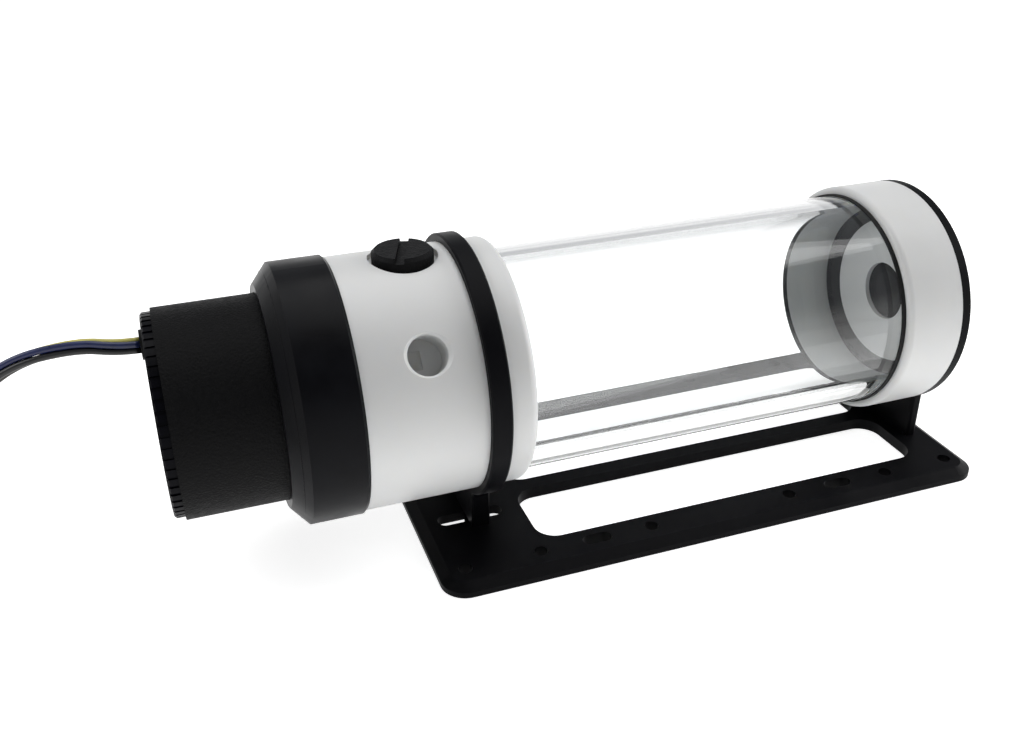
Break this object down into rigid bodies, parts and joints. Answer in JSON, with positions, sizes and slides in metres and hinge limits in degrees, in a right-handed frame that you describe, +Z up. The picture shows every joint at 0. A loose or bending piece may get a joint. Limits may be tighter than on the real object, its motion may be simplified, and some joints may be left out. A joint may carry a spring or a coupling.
{
  "type": "coolant pump reservoir",
  "caption": "Glass tube coolant reservoir lying on a slotted stand, with a canned centrifugal pump held by a screw collar at one end and a threaded outlet.",
  "frame": {"origin": "middle of the object's footprint without the leads, on the underside of the base plate", "axes": "+X along the tube from the pump to the end cap, +Z up"},
  "size_m": [0.4148, 0.0928, 0.094],
  "materials": {
    "black_gloss": "moulded gloss",
    "black_coat": "black anodised aluminium, satin",
    "black_collar": "satin black acetal",
    "white_acetal": "machined acetal, soft gloss",
    "clear_glass": "polished borosilicate",
    "rubber": "smooth",
    "motor_plastic": "moulded",
    "core_steel": "ground",
    "copper": "enamelled copper wire",
    "board": "lacquered laminate",
    "screw_steel": "black oxide",
    "lead_sheath": "soft insulation"
  },
  "bodies": {
    "frame": {"pump_rear_cover": "black_gloss", "pump_sleeve": "black_coat", "end_plate": "black_coat", "end_leg": "black_coat", "base_plate": "black_coat", "screw_collar": "black_collar", "stop_plug": "black_collar", "pump_body": "white_acetal", "tube_base": "white_acetal", "volute_insert": "white_acetal", "end_cap": "white_acetal", "glass_tube": "clear_glass", "pump_flange_seal": "rubber", "tube_base_seal": "rubber", "cap_mouth_seal": "rubber", "cap_seal": "rubber", "end_plate_seal": "rubber", "stop_plug_seal": "rubber", "lead_grommet": "rubber", "lead_boot": "rubber", "motor_housing": "motor_plastic", "lead_plug": "motor_plastic", "lead_tie": "motor_plastic", "motor_stator": "core_steel", "bearing_ball_post": "core_steel", "motor_windings": "copper", "motor_circuit_board": "board", "end_plate_screws": "screw_steel", "end_leg_screws": "screw_steel", "end_leg_foot_screws": "screw_steel", "lead_bundle": "lead_sheath", "lead_coil": "lead_sheath"},
    "rotor": {"impeller": "motor_plastic", "rotor_magnet": "core_steel"},
    "fill_seal": {"fill_plug_seal": "rubber"},
    "fill_plug": {"fill_plug": "black_collar"},
    "clamp": {"clamp_ring": "black_coat", "clamp_ring_screws": "screw_steel"}
  },
  "joints": [
    {"name": "rotor_spin", "type": "hinge", "parent": "frame", "child": "rotor", "pos_m": [-0.09955, 0, 0.0535], "axis": [1, 0, 0], "continuous": true},
    {"name": "fill_plug_rise", "type": "slide", "parent": "frame", "child": "fill_seal", "axis": [0, 0, 1], "range_m": [0, 0.00802]},
    {"name": "fill_plug_turn", "type": "hinge", "parent": "fill_seal", "child": "fill_plug", "pos_m": [-0.05615, 0, 0.0895], "axis": [0, 0, 1], "range_deg": [0, 2160]},
    {"name": "clamp_ring_slide", "type": "slide", "parent": "frame", "child": "clamp", "axis": [1, 0, 0], "range_m": [-0.004, 0.005]}
  ],
  "couplings": [
    {"joint": "fill_plug_rise", "follows": "fill_plug_turn", "m_per_rad": 0.00021279}
  ]
}
